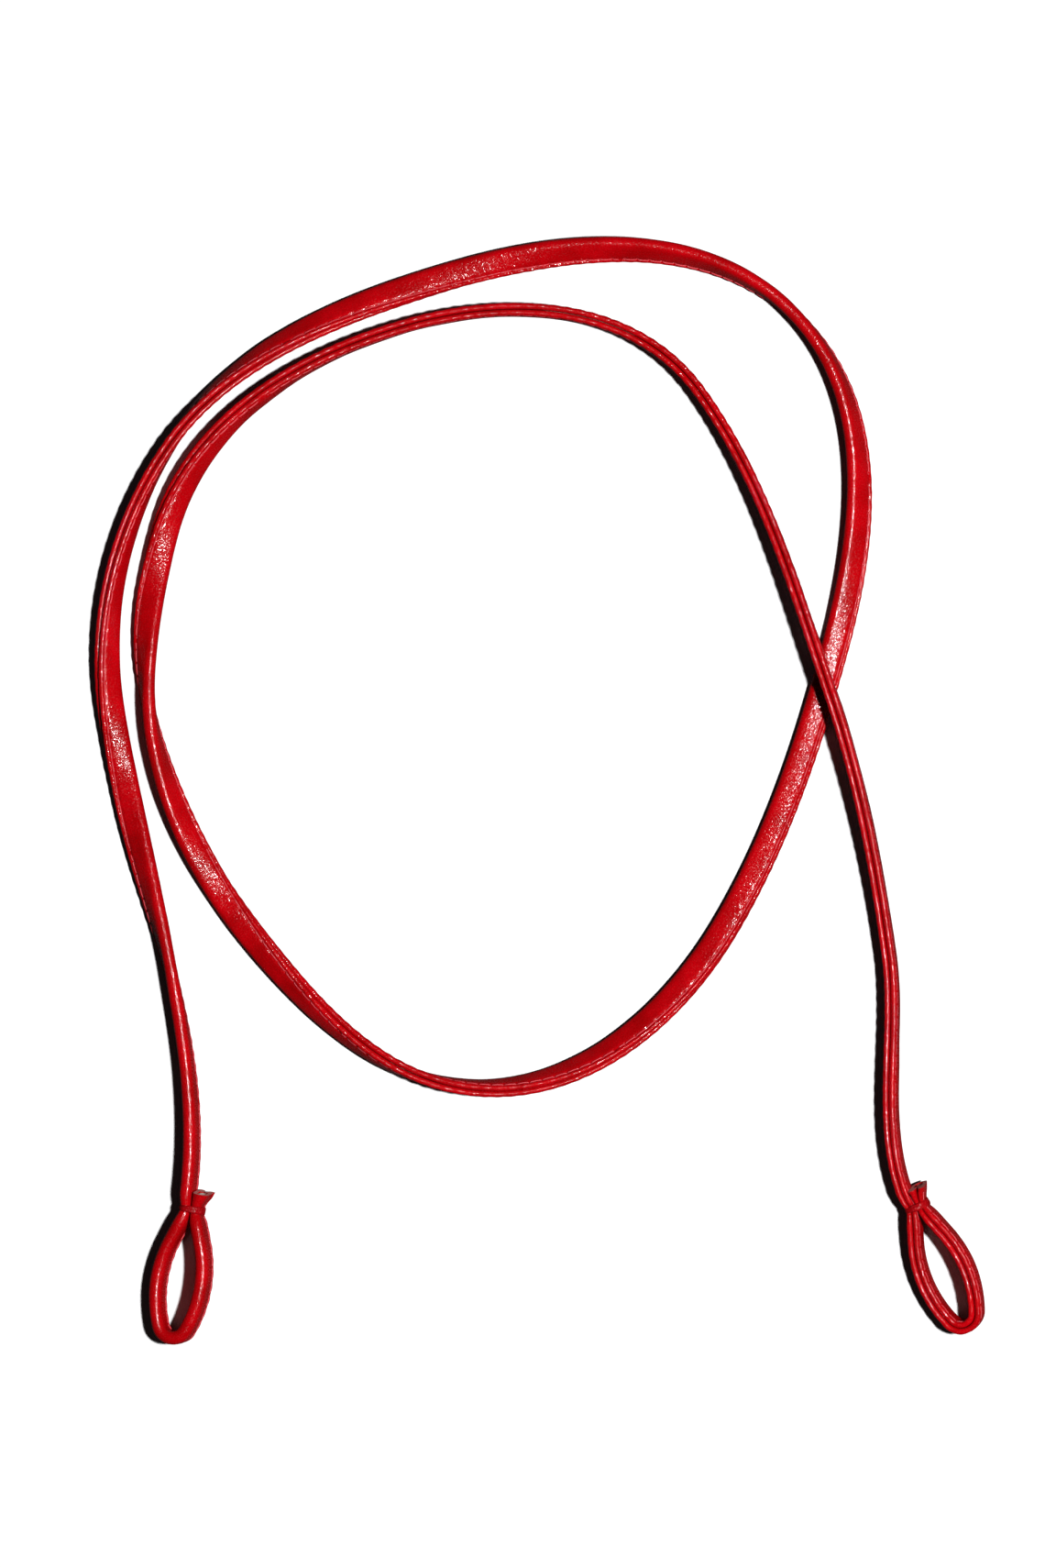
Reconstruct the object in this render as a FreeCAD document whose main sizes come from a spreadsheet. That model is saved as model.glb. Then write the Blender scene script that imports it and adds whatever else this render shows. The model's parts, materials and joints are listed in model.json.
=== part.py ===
import FreeCAD, Part
import math
import os

import Sketcher

# A leather lead: one long folded strap laid in a loop on a table, with an eye at each end.
# Frame: +Z up from the table, origin on the table under the middle of the laid lead, millimetres.
# The strap's section has u across its width (from the rolled spine to the two stitched lips)
# and v through its thickness.

Vector = FreeCAD.Vector
UP = Vector(0, 0, 1)

DIMENSIONS = {
    # strap section
    "strap_width": 12.6,
    "leather": 1.4,
    "lip_slit": 0.4,
    "flap_length": 5.2,
    "stitch_inset": 2.3,
    "seam_groove_width": 1.2,
    "seam_groove_depth": 0.85,
    "thread_diameter": 0.5,
    "thread_gap": 0.3,
    "fit_gap": 0.2,
    # flexible places between the lengths
    "hinge_gap": 0.35,
    "relief_margin_deg": 1.0,
    "neck_relief_deg": 31.0,
    "section_spacing": 11.0,
    "section_turn_deg": 5.0,
    # eyes
    "eye_tip_radius": 7.0,
    "eye_side_radius": 55.0,
    "eye_leg": 8.0,
    "eye_spread_deg": 20.0,
    "eye_neck_radius": 22.0,
    "eye_neck_straight": 3.0,
    "eye_leg_gap": 0.4,
    "stub_length": 6.5,
    # bindings round the necks of the eyes
    "binding_start": 1.2,
    "binding_height": 3.0,
    "binding_wall": 1.1,
    "binding_corner": 2.0,
}

# How the strap lies: one row for each flexible place, from the left eye's neck to the right eye's.
# x and y on the table, the direction the strap runs in, the roll of the spine-to-lip direction
# (0 right of the run, 90 up), the height above lying flat on the table, and the bend limits
# (down, up).
STATIONS = (
    (-161.0, -188.3, 81, 285, 2.6, -30, 30),
    (-166, -95, 101, 270, 0, -45, 60),
    (-196, 40, 97, 150, 0, -45, 60),
    (-170, 156, 58, 90, 0, -45, 60),
    (-48, 233, 17, 3, 0, -45, 60),
    (118, 216, -46, -93, 0, -45, 60),
    (135, 64, -105, -172, 0, -45, 60),
    (85, -63, -121, -192, 0, -40, 0),
    (-39, -135, -189, -264, 0, -40, 0),
    (-129, -70, -231, -337, 0, -40, 0),
    (-175, 19, -256, -431, 0, -40, 0),
    (-171, 118, -286, -561, 0, 0, 60),
    (-61, 212, -344, -630, 0, 0, 60),
    (73, 182, -414, -630, 1.5, 0, 60),
    (133, 44, -431, -636, 8.0, -10, 45),
    (160, -75, -442, -641, 1.0, -45, 60),
    (168.9, -188.5, -427, -647, 2.6, -30, 30),
)
STATION_FIELDS = ("place_x", "place_y", "run_deg", "roll_deg", "lift", "bend_down_deg", "bend_up_deg")
# the length that holds still when the others bend: it lies under the crossing
STILL_LENGTH = 7


def cell_name(row, column):
    return "ABCDEFGH"[column] + str(row)


def make_sheet(doc):
    """The driving dimensions as named cells, and the stations as one row each."""
    sheet = doc.addObject("Spreadsheet::Sheet", "dimensions")
    row = 1
    for name, value in DIMENSIONS.items():
        sheet.set(cell_name(row, 0), name)
        sheet.set(cell_name(row, 1), str(value))
        sheet.setAlias(cell_name(row, 1), name)
        row += 1
    for number, values in enumerate(STATIONS):
        row += 1
        for column, value in enumerate(values):
            sheet.set(cell_name(row, column), str(value))
            sheet.setAlias(cell_name(row, column), station_alias(STATION_FIELDS[column], number))
    return sheet


def station_alias(field, number):
    return "{}_at_{:02d}".format(field, number)


doc = FreeCAD.newDocument("lead")
sheet = make_sheet(doc)
doc.recompute()


def size(name):
    return float(getattr(sheet, name))


def station(number, field):
    return size(station_alias(field, number))


HALF_WIDTH = size("strap_width") / 2
HALF_THICK = (4 * size("leather") + size("lip_slit")) / 2
LIP_RADIUS = size("leather")
NECK_OFFSET = HALF_THICK + size("eye_leg_gap") / 2
# how far a relief reaches above and below the middle of the strap: past its corners at any roll
RELIEF_REACH = 1.6 * HALF_WIDTH
# a share of one length, small enough to read the run's direction from
NUDGE = 0.002
THREAD_FLATS = 8
# an edge this close to vertical counts as upright
UPRIGHT = 0.99
# the most of a solid block that can be left once a band's opening is cut through it
BAND_SHARE = 0.6
LAST = len(STATIONS) - 1


# ---- the line the strap follows ----

def direction(degrees):
    angle = math.radians(degrees)
    return Vector(math.cos(angle), math.sin(angle), 0)


def eased(before, after, slope_before, slope_after, span, t):
    """Cubic from one value to the next with a given slope at each end; t runs 0 to 1."""
    return (
        before * (2 * t**3 - 3 * t**2 + 1)
        + slope_before * (span * (t**3 - 2 * t**2 + t))
        + after * (3 * t**2 - 2 * t**3)
        + slope_after * (span * (t**3 - t**2))
    )


def plan_point(length, t):
    """A point of the strap's line on the table, on one length, at t from 0 to 1."""
    start = Vector(station(length, "place_x"), station(length, "place_y"), 0)
    end = Vector(station(length + 1, "place_x"), station(length + 1, "place_y"), 0)
    turn = math.radians(station(length + 1, "run_deg") - station(length, "run_deg"))
    pull = (end - start).Length / math.cos(turn / 4) ** 2
    run_in = direction(station(length, "run_deg"))
    run_out = direction(station(length + 1, "run_deg"))
    return eased(start, end, run_in, run_out, pull, t)


def plan_length(length, steps=40):
    points = [plan_point(length, n / steps) for n in range(steps + 1)]
    return sum((b - a).Length for a, b in zip(points, points[1:]))


LENGTHS = [plan_length(length) for length in range(LAST)]


def smooth_slopes(field):
    """The slope of a station value at each station: level at the necks and at a peak, and never
    steep enough to overshoot."""
    values = [station(n, field) for n in range(LAST + 1)]
    rates = [(b - a) / span for a, b, span in zip(values, values[1:], LENGTHS)]
    slopes = [0.0]
    for before, after, span_in, span_out in zip(rates, rates[1:], LENGTHS, LENGTHS[1:]):
        slope = (before * span_out + after * span_in) / (span_in + span_out)
        steepest = 3 * min(abs(before), abs(after))
        slope = 0.0 if before * after <= 0 else math.copysign(min(abs(slope), steepest), slope)
        slopes.append(slope)
    return slopes + [0.0]


SLOPES = {field: smooth_slopes(field) for field in ("roll_deg", "lift")}


def between_stations(field, length, t):
    slopes = SLOPES[field]
    return eased(station(length, field), station(length + 1, field),
                 slopes[length], slopes[length + 1], LENGTHS[length], t)


def resting_height(roll):
    """How high the middle of the section is when its lowest point touches the table."""
    rise = math.sin(math.radians(roll))
    lean = abs(math.cos(math.radians(roll)))
    on_spine = (HALF_WIDTH - HALF_THICK) * rise + HALF_THICK
    on_lips = -(HALF_WIDTH - LIP_RADIUS) * rise + (HALF_THICK - LIP_RADIUS) * lean + LIP_RADIUS
    return max(on_spine, on_lips)


def middle(length, t):
    """The middle of the strap's section, and its roll."""
    roll = between_stations("roll_deg", length, t)
    height = resting_height(roll) + between_stations("lift", length, t)
    return plan_point(length, t) + UP * height, roll


class Frame:
    """A place on the strap: its middle, the run along it, u across the width, v through it."""

    def __init__(self, place, run, across):
        self.place = place
        self.run = run.normalize()
        self.u = across.normalize()
        self.v = self.u.cross(self.run)

    def point(self, u, v):
        return self.place + self.u * u + self.v * v


def frame_at(length, t):
    place, roll = middle(length, t)
    ahead = middle(length, min(t + NUDGE, 1))[0]
    behind = middle(length, max(t - NUDGE, 0))[0]
    run = (ahead - behind).normalize()
    right = run.cross(UP).normalize()
    above = right.cross(run)
    angle = math.radians(roll)
    return Frame(place, run, right * math.cos(angle) + above * math.sin(angle))


def frame_at_station(number):
    return frame_at(number, 0) if number < LAST else frame_at(number - 1, 1)


# ---- sections of the strap ----

def outline(frame, corners):
    """A closed wire through (u, v) corners; a corner with a third entry is the middle of an arc."""
    edges = []
    index = 0
    corners = corners + corners[:1]
    while index < len(corners) - 1:
        start = frame.point(*corners[index][:2])
        bulge = len(corners[index + 1]) == 3
        end = frame.point(*corners[index + (2 if bulge else 1)][:2])
        if bulge:
            edges.append(Part.Arc(start, frame.point(*corners[index + 1][:2]), end).toShape())
        else:
            edges.append(Part.LineSegment(start, end).toShape())
        index += 2 if bulge else 1
    return Part.Wire(edges)


def cover_section(frame):
    """The folded leather: round the spine, along both faces, over the lips and back inside as two
    turned flaps. A shallow groove in each face takes the seam thread."""
    leather = size("leather")
    slit = size("lip_slit") / 2
    lip = HALF_WIDTH - LIP_RADIUS
    spine = HALF_THICK - HALF_WIDTH
    flap = HALF_WIDTH - size("flap_length")
    seam = HALF_WIDTH - size("stitch_inset")
    groove = size("seam_groove_width") / 2
    floor = HALF_THICK - size("seam_groove_depth")
    inside = HALF_THICK - leather
    upper = [
        (lip, slit),
        (HALF_WIDTH, HALF_THICK - LIP_RADIUS, "arc"),
        (lip, HALF_THICK),
        (seam + groove, HALF_THICK),
        (seam + groove, floor),
        (seam - groove, floor),
        (seam - groove, HALF_THICK),
        (spine, HALF_THICK),
    ]
    inner = [(spine, inside), (flap, inside), (flap, slit)]
    round_spine = [(-HALF_WIDTH, 0, "arc")]
    round_inside = [(-HALF_WIDTH + leather, 0, "arc")]
    lower = mirrored(upper)
    return outline(frame, upper + round_spine + lower + mirrored(inner) + round_inside + inner)


def mirrored(corners):
    """The same corners on the other side of the section, in the order that goes back."""
    return [(corner[0], -corner[1]) + tuple(corner[2:]) for corner in reversed(corners)]


def core_section(frame):
    """The filler: flat cord with one round edge, clear of the leather all round."""
    gap = size("fit_gap")
    half = HALF_THICK - size("leather") - gap
    spine = HALF_THICK - HALF_WIDTH
    edge = HALF_WIDTH - size("flap_length") - gap
    round_spine = [(spine, half), (spine - half, 0, "arc"), (spine, -half)]
    return outline(frame, [(edge, -half), (edge, half)] + round_spine)


def thread_centre():
    """u and v of the seam thread on the needle side."""
    floor = HALF_THICK - size("seam_groove_depth")
    return HALF_WIDTH - size("stitch_inset"), floor + size("thread_gap") + size("thread_diameter") / 2


def thread_section(side):
    """A laid thread, drawn with flats, on one face of the strap."""
    def section(frame):
        u, v = thread_centre()
        reach = size("thread_diameter") / 2
        turns = [math.tau * (n + 0.5) / THREAD_FLATS for n in range(THREAD_FLATS)]
        return outline(frame, [(u + reach * math.cos(a), side * v + reach * math.sin(a)) for a in turns])
    return section


# ---- flexible places ----

def bend_axis(number):
    """The line a flexible place bends about: level and square to the run, so that a positive bend
    lifts the outer side. At a neck it is square to the strap's face, so the stub slides past."""
    frame = frame_at_station(number)
    if number in (0, LAST):
        return frame.v * -1
    left = UP.cross(frame.run).normalize()
    return left if number < STILL_LENGTH else left * -1


def relief(number, outward, reach_low, reach_high):
    """The wedge cut from the end of a length at a flexible place, so that the two ends can close
    on each other up to the bend limits. outward is the way out of the length that is cut."""
    frame = frame_at_station(number)
    axis = frame.v * -1 if number in (0, LAST) else UP.cross(frame.run).normalize()
    upward = frame.run.cross(axis)
    if upward.z < 0:
        upward = upward * -1
    gap = size("hinge_gap")
    margin = size("relief_margin_deg")
    high = RELIEF_REACH
    up = station(number, "bend_up_deg") / 2 + margin
    down = -station(number, "bend_down_deg") / 2 + margin
    if number in (0, LAST):
        # the binding stands out beyond the strap, so a neck needs a wider wedge than its bend
        up = down = size("neck_relief_deg")
    top = math.tan(math.radians(up)) * high
    bottom = math.tan(math.radians(down)) * high
    beyond = HALF_WIDTH
    corners = ((-gap, 0), (-gap - top, high), (beyond, high), (beyond, -high), (-gap - bottom, -high))
    points = [frame.place + outward * along + upward * above for along, above in corners]
    face = Part.Face(Part.makePolygon(points + points[:1]))
    face.translate(axis * reach_low)
    return face.extrude(axis * (reach_high - reach_low))


# ---- the solids ----

def section_places(length):
    turn = abs(station(length + 1, "roll_deg") - station(length, "roll_deg"))
    by_length = round(LENGTHS[length] / size("section_spacing"))
    by_turn = math.ceil(turn / size("section_turn_deg"))
    count = max(4, by_length, by_turn)
    return [n / count for n in range(count + 1)]


def lofted(length, section, first=0.0, last=1.0):
    """A solid along one length of the strap, through its section at even places."""
    places = [first + (last - first) * t for t in section_places(length)]
    wires = [section(frame_at(length, t)) for t in places]
    return Part.makeLoft(wires, True, False)


def with_reliefs(solid, length):
    wide = 2 * HALF_WIDTH
    start = frame_at(length, 0).run * -1
    end = frame_at(length, 1).run
    solid = solid.cut(relief(length, start, -wide, wide))
    return solid.cut(relief(length + 1, end, -wide, wide))


def relief_depth(number, side):
    """How far back from a flexible place the seam thread has to stop."""
    frame = frame_at_station(number)
    u, v = thread_centre()
    height = frame.point(u, side * v).z - frame.place.z
    limit = station(number, "bend_up_deg") if height > 0 else -station(number, "bend_down_deg")
    slope = math.tan(math.radians(limit / 2 + size("relief_margin_deg")))
    return size("hinge_gap") + (abs(height) + size("thread_diameter")) * slope


def seam_threads(length):
    """The needle thread on one face and the bobbin thread on the other."""
    threads = []
    for side in (1, -1):
        first = relief_depth(length, side) / LENGTHS[length]
        last = 1 - relief_depth(length + 1, side) / LENGTHS[length]
        threads.append(lofted(length, thread_section(side), first, last))
    return Part.makeCompound(threads)


def eye_frame(number):
    """The neck of an eye: the place midway between its two legs, the way out along the eye, and
    the sections' u and v."""
    frame = frame_at_station(number)
    out = frame.run if number == LAST else frame.run * -1
    return frame.place + frame.v * NECK_OFFSET, out, frame.u, frame.v


def eye_path(number):
    """The line of an eye: out along one leg, round the tip and back to the cut stub. Straights and
    arcs that meet without a corner: the legs flare from the neck, then curve in to a tighter tip."""
    centre, out, _, side = eye_frame(number)
    spread = math.radians(size("eye_spread_deg"))
    tip = size("eye_tip_radius")
    flank = size("eye_side_radius")
    neck = size("eye_neck_radius")
    straight = size("eye_neck_straight")
    leg = size("eye_leg")
    flared = (straight + neck * math.sin(spread), NECK_OFFSET + neck * (1 - math.cos(spread)))
    widening = (flared[0] + leg * math.cos(spread), flared[1] + leg * math.sin(spread))
    flank_centre = (widening[0] + flank * math.sin(spread), widening[1] - flank * math.cos(spread))
    closing = math.acos(-flank_centre[1] / (flank - tip))
    tip_along = flank_centre[0] + (flank - tip) * math.sin(closing)
    tip_start = (tip_along + tip * math.sin(closing), tip * math.cos(closing))

    def at(along, sideways):
        return centre + out * along + side * sideways

    def neck_middle(sign):
        half = spread / 2
        return at(straight + neck * math.sin(half), sign * (NECK_OFFSET + neck * (1 - math.cos(half))))

    def flank_middle(sign):
        half = (closing - spread) / 2
        return at(flank_centre[0] + flank * math.sin(half), sign * (flank_centre[1] + flank * math.cos(half)))

    edges = [
        Part.LineSegment(at(0, -NECK_OFFSET), at(straight, -NECK_OFFSET)),
        Part.Arc(at(straight, -NECK_OFFSET), neck_middle(-1), at(flared[0], -flared[1])),
        Part.LineSegment(at(flared[0], -flared[1]), at(widening[0], -widening[1])),
        Part.Arc(at(widening[0], -widening[1]), flank_middle(-1), at(tip_start[0], -tip_start[1])),
        Part.Arc(at(tip_start[0], -tip_start[1]), at(tip_along + tip, 0), at(*tip_start)),
        Part.Arc(at(*tip_start), flank_middle(1), at(*widening)),
        Part.LineSegment(at(*widening), at(*flared)),
        Part.Arc(at(*flared), neck_middle(1), at(straight, NECK_OFFSET)),
        Part.LineSegment(at(straight, NECK_OFFSET), at(-size("stub_length"), NECK_OFFSET)),
    ]
    return Part.Wire([edge.toShape() for edge in edges])


def eye_solid(number, section):
    """A section carried round an eye, with the relief cut from the leg that joins the strap."""
    frame = frame_at_station(number)
    _, out, _, _ = eye_frame(number)
    start = Frame(frame.place, out, frame.u)
    if number == 0:
        start.v = frame.v
    solid = eye_path(number).makePipe(Part.Face(section(start)))
    # the relief reaches only across the joined leg, which lies at the far side of the neck line
    return solid.cut(relief(number, out * -1, -NECK_OFFSET, 2 * HALF_THICK))


def eye_threads(number):
    return Part.makeCompound([eye_solid(number, thread_section(side)) for side in (1, -1)])


def shape_node(name, shape):
    """A sub-part whose shape comes from the functions above."""
    node = doc.addObject("Part::Feature", name)
    node.Label = name
    node.Shape = shape
    return node


def origin_plane(body, role):
    return next(item for item in body.Origin.OriginFeatures if item.Role == role)


def rectangle(sketch, width, height):
    """A centred rectangle whose width and height are bound to expressions."""
    first = sketch.GeometryCount
    corners = ((-1, -1), (1, -1), (1, 1), (-1, 1))
    points = [Vector(x * 5, y * 5, 0) for x, y in corners]
    for start, end in zip(points, points[1:] + points[:1]):
        sketch.addGeometry(Part.LineSegment(start, end), False)
    bottom, right, top, left = range(first, first + 4)
    for one, other in ((bottom, right), (right, top), (top, left), (left, bottom)):
        sketch.addConstraint(Sketcher.Constraint("Coincident", one, 2, other, 1))
    for line in (bottom, top):
        sketch.addConstraint(Sketcher.Constraint("Horizontal", line))
    for line in (left, right):
        sketch.addConstraint(Sketcher.Constraint("Vertical", line))
    sketch.addConstraint(Sketcher.Constraint("Symmetric", bottom, 1, top, 1, -1, 1))
    across = sketch.addConstraint(Sketcher.Constraint("DistanceX", bottom, 1, bottom, 2, 10))
    along = sketch.addConstraint(Sketcher.Constraint("DistanceY", right, 1, right, 2, 10))
    sketch.setExpression("Constraints[{}]".format(across), width)
    sketch.setExpression("Constraints[{}]".format(along), height)


def binding(name, number):
    """The thong wound round both legs at an eye's neck, as one band."""
    body = doc.addObject("PartDesign::Body", name)
    body.Label = name
    legs = "(8 * dimensions.leather + 2 * dimensions.lip_slit + dimensions.eye_leg_gap"
    inner = (legs + " + 2 * dimensions.fit_gap)", "(dimensions.strap_width + 2 * dimensions.fit_gap)")
    wall = " + 2 * dimensions.binding_wall"
    outer_sketch = body.newObject("Sketcher::SketchObject", name + "_outside")
    outer_sketch.AttachmentSupport = [(origin_plane(body, "XY_Plane"), "")]
    outer_sketch.MapMode = "FlatFace"
    rectangle(outer_sketch, inner[0] + wall, inner[1] + wall)
    band = body.newObject("PartDesign::Pad", name + "_band")
    band.Profile = outer_sketch
    band.setExpression("Length", "dimensions.binding_height")
    doc.recompute()
    rounded = body.newObject("PartDesign::Fillet", name + "_corners")
    upright = [
        "Edge{}".format(index + 1)
        for index, edge in enumerate(band.Shape.Edges)
        if abs(edge.tangentAt(edge.FirstParameter).z) > UPRIGHT
    ]
    rounded.Base = (band, upright)
    rounded.setExpression("Radius", "dimensions.binding_corner")
    doc.recompute()
    inner_sketch = body.newObject("Sketcher::SketchObject", name + "_inside")
    inner_sketch.AttachmentSupport = [(origin_plane(body, "XY_Plane"), "")]
    inner_sketch.MapMode = "FlatFace"
    rectangle(inner_sketch, *inner)
    opening = body.newObject("PartDesign::Pocket", name + "_opening")
    opening.Profile = inner_sketch
    opening.Type = "ThroughAll"
    opening.Midplane = True
    doc.recompute()
    if opening.Shape.Volume > BAND_SHARE * rounded.Shape.Volume:
        raise RuntimeError(name + ": the opening cut nothing")
    centre, out, u, side = eye_frame(number)
    axes = FreeCAD.Matrix(
        side.x, u.x, out.x, 0,
        side.y, u.y, out.y, 0,
        side.z, u.z, out.z, 0,
        0, 0, 0, 1)
    if side.cross(u).dot(out) < 0:
        axes = FreeCAD.Matrix(
            -side.x, u.x, out.x, 0,
            -side.y, u.y, out.y, 0,
            -side.z, u.z, out.z, 0,
            0, 0, 0, 1)
    turn = FreeCAD.Placement(axes).Rotation
    body.Placement = FreeCAD.Placement(centre + out * size("binding_start"), turn)
    return body


def make_nodes():
    nodes = []
    for length in range(LAST):
        tag = "_{:02d}".format(length + 1)
        nodes.append(shape_node("cover" + tag, with_reliefs(lofted(length, cover_section), length)))
        nodes.append(shape_node("core" + tag, with_reliefs(lofted(length, core_section), length)))
        nodes.append(shape_node("seam_thread" + tag, seam_threads(length)))
    for prefix, number in (("left_eye_", 0), ("right_eye_", LAST)):
        nodes.append(shape_node(prefix + "cover", eye_solid(number, cover_section)))
        nodes.append(shape_node(prefix + "core", eye_solid(number, core_section)))
        nodes.append(shape_node(prefix + "seam_thread", eye_threads(number)))
        nodes.append(binding(prefix + "binding", number))
    return nodes


def check(nodes):
    doc.recompute()
    for item in doc.Objects:
        if {"Invalid", "Error"} & set(item.State):
            raise RuntimeError("{} did not recompute: {}".format(item.Label, item.State))
    for node in nodes:
        if node.Shape.isNull() or not node.Shape.isValid() or not node.Shape.Solids:
            raise RuntimeError(node.Label + " has no valid solid")


def write(nodes):
    os.makedirs("parts", exist_ok=True)
    for node in nodes:
        node.Shape.exportStep(os.path.join("parts", node.Label + ".step"))


nodes = make_nodes()
check(nodes)
write(nodes)
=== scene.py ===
import json
import math
import random

import bmesh
import bpy
import numpy as np
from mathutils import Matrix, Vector


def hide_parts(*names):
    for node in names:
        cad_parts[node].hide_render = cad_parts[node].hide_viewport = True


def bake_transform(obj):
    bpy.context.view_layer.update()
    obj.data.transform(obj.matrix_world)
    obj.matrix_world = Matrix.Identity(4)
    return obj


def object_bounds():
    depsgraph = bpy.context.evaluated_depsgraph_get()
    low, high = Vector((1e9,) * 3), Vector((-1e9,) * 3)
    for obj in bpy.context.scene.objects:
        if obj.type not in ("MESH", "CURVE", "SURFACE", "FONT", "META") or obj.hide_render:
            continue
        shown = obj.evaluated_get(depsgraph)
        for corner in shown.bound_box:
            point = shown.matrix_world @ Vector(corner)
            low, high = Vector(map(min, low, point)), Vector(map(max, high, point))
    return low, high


# The looks of a folded leather lead that lies in a loop, with a small bound eye at each end.
# Lengths are in metres. s runs along the strap from the cut end at the left eye to the cut end at
# the right eye, u across it from the rolled spine to the two stitched lips, v through it.

MM = 0.001
UP = np.array([0.0, 0.0, 1.0])

# strap section
HALF_WIDTH = 6.3 * MM
HALF_THICK = 3.0 * MM
LEATHER = 1.4 * MM
LIP_RADIUS = 1.4 * MM
FLAP_END = 1.1 * MM
SLIT = 0.12 * MM
SEAM_U = 4.0 * MM

# stitching
PITCH = 5.9 * MM
THREAD_RADIUS = 0.3 * MM
THREAD_SIDES = 6
THREAD_HEIGHT = 2.72 * MM
# the thread's path at a hole: millimetres along the strap from the hole, and below THREAD_HEIGHT
LOCK_PATH = ((-0.85, 0.02), (-0.45, 0.35), (-0.14, 1.2), (0.0, 2.35), (0.14, 1.2), (0.45, 0.35),
             (0.85, 0.02), (2.95, -0.10))

# eyes
EYE_TIP = 7.0 * MM
EYE_FLANK = 55 * MM
EYE_LEG = 8.0 * MM
EYE_SPREAD = math.radians(20)
NECK_RADIUS = 22 * MM
NECK_STRAIGHT = 3.0 * MM
NECK_OFFSET = 3.2 * MM
STUB = 6.5 * MM
# a stub shifts, rises and opens towards its cut end, which leans back from its middle to its top
STUB_SHIFT = 0.8 * MM
STUB_RISE = 0.6 * MM
STUB_OPENING = 0.22
LIP_OPENING = 0.75 * MM
SEAM_OPENING = 0.48 * MM
CUT_SLANT = 0.9 * MM

# bindings
BINDING_PLACE = 2.7 * MM
THONG_WIDTH = 2.3 * MM
THONG_THICK = 1.0 * MM
THONG_SIDES = 10
THONG_LENGTH = 80 * MM
THONG_TURNS = 2.12
THONG_START = 2.4
THONG_RINGS = 150
THONG_SPREAD = 3.0 * MM
THONG_SQUARENESS = 2.5
THONG_HALF_SIDE = 5.35 * MM
THONG_HALF_U = 5.75 * MM

# what a binding does to the strap: the two legs move together, and each is squeezed across and
# through, a cut stub more than a whole leg
PINCH_REACH = 4.2 * MM
PINCH_SHIFT = 0.62 * MM
SQUEEZE_ACROSS = 0.19
SQUEEZE_THROUGH = 0.20
STUB_SQUEEZE = 1.35

# filler cord
CORD_GAP = 0.15 * MM
CORD_EDGE_GAP = 0.2 * MM
CORD_RECESS = 0.5 * MM
CORD_STEP = 2.5 * MM

# surface of the leather, in millimetres
HOLE_DEPTH = 0.42
SEAM_DEPTH = 0.10
PUCKER_HEIGHT = 0.10
LIP_PUCKER = 0.07
LONG_WAVE = 0.10
CREASE_HEIGHT = 0.055
FINE_CREASE_HEIGHT = 0.035
LIP_CREASE_HEIGHT = 0.03

# how finely the strap is built
RING_STEP = PITCH / 7

# stretches of creased leather: start and end along the strap from the left neck
CREASED = ((147, 210), (483, 546), (882, 987), (1239, 1281), (1415, 1440), (1800, 1860))

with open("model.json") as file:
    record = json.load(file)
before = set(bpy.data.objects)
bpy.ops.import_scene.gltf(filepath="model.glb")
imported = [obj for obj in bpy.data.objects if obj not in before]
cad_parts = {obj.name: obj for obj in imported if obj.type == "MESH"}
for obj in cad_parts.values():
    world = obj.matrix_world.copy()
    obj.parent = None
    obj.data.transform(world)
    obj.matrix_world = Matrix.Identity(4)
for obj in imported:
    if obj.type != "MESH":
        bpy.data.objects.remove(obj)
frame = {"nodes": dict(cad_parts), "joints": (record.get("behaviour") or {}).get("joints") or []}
cad_low, cad_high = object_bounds()


def unit(vectors):
    vectors = np.asarray(vectors, float)
    return vectors / np.linalg.norm(vectors, axis=-1, keepdims=True)


# ---- how the strap lies, read from the frame ----

def stations():
    """The flexible places in order, and the level direction the strap runs in at each."""
    places = np.array([joint["pos_m"] for joint in frame["joints"]])
    ahead = np.gradient(places, axis=0)
    runs = []
    for joint, onward in zip(frame["joints"], ahead):
        run = unit(np.cross(joint["axis"], UP))
        runs.append(run if run @ onward > 0 else -run)
    return places, np.array(runs)


def plan_curve(start, end, run_in, run_out, t):
    """A point and the direction of the strap's line on the table, between two flexible places."""
    turn = math.atan2(np.cross(run_in, run_out) @ UP, run_in @ run_out)
    pull = np.linalg.norm((end - start)[:2]) / math.cos(turn / 4) ** 2
    place = (
        start * (2 * t**3 - 3 * t**2 + 1) + run_in * pull * (t**3 - 2 * t**2 + t)
        + end * (3 * t**2 - 2 * t**3) + run_out * pull * (t**3 - t**2)
    )
    slope = (
        (end - start) * (6 * t - 6 * t**2) + run_in * pull * (3 * t**2 - 4 * t + 1)
        + run_out * pull * (3 * t**2 - 2 * t)
    )
    return place, unit(slope * [1, 1, 0])


def node_edges(name):
    """Both ends of every edge of a CAD node."""
    mesh = frame["nodes"][name].data
    points = np.zeros(len(mesh.vertices) * 3)
    mesh.vertices.foreach_get("co", points)
    points = points.reshape(-1, 3)
    pairs = np.zeros(len(mesh.edges) * 2, int)
    mesh.edges.foreach_get("vertices", pairs)
    pairs = pairs.reshape(-1, 2)
    return points[pairs[:, 0]], points[pairs[:, 1]]


def crossings(edges, place, run):
    """Where edges cross the upright plane through place, near it."""
    first, second = edges
    before = (first - place) @ run
    after = (second - place) @ run
    cut = before * after < 0
    share = before[cut] / (before[cut] - after[cut])
    points = first[cut] + (second[cut] - first[cut]) * share[:, None]
    return points[np.linalg.norm((points - place)[:, :2], axis=1) < 2 * HALF_WIDTH]


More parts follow.
